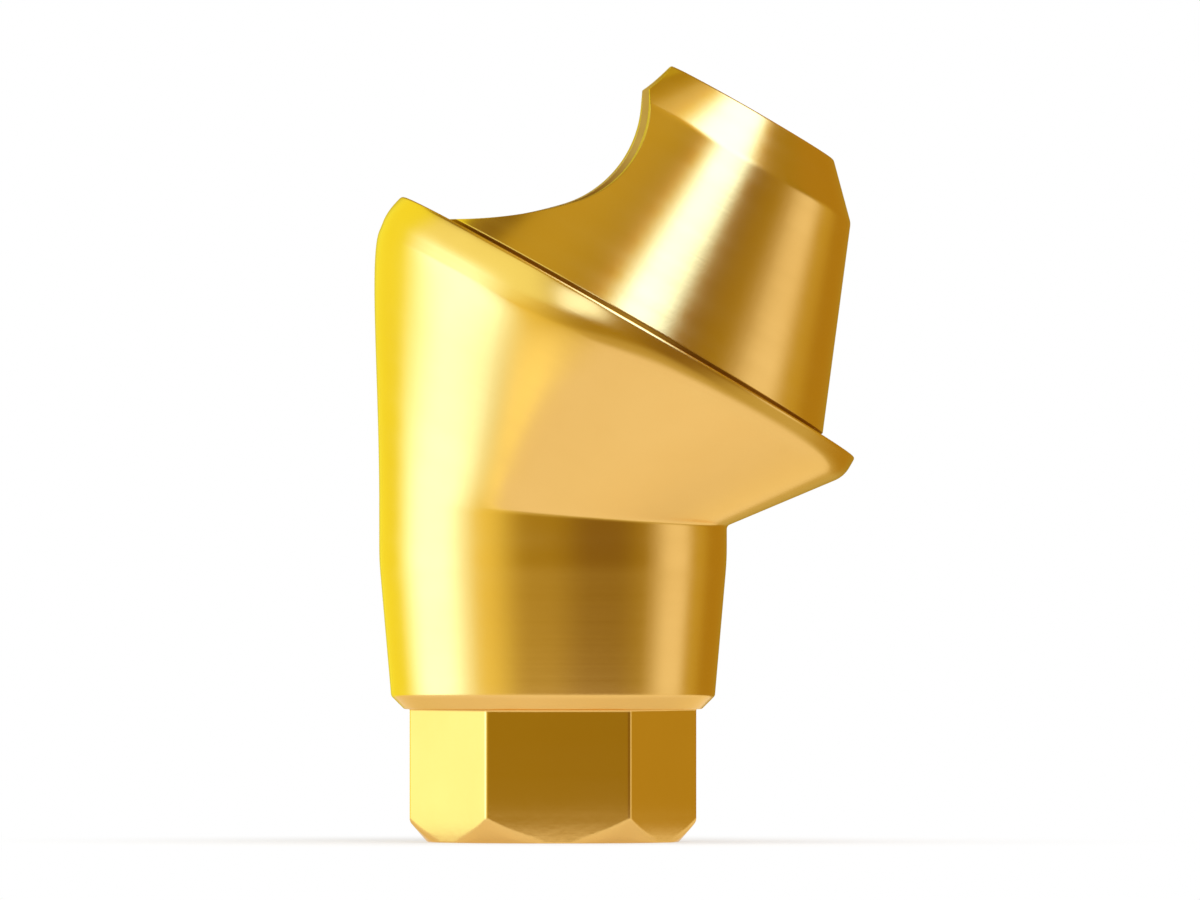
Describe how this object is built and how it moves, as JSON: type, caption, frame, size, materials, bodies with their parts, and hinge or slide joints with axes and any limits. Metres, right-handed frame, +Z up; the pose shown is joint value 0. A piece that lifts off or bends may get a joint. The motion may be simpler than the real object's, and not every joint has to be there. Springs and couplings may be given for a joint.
{
  "type": "dental abutment",
  "caption": "Angled dental abutment: implant hexagon, tapered neck, flared collar with a rim tilted 30 degrees, and a notched conical post.",
  "frame": {"origin": "on the implant axis, at the end face of the hexagon", "axes": "+Z up the implant axis towards the post, +X the way the post leans, so the part is the same on both sides of the XZ plane"},
  "size_m": [0.0044, 0.0048, 0.0071],
  "materials": {
    "gold_coated_titanium": "polished, turned"
  },
  "bodies": {
    "root": {"abutment_body": "gold_coated_titanium"}
  },
  "joints": []
}
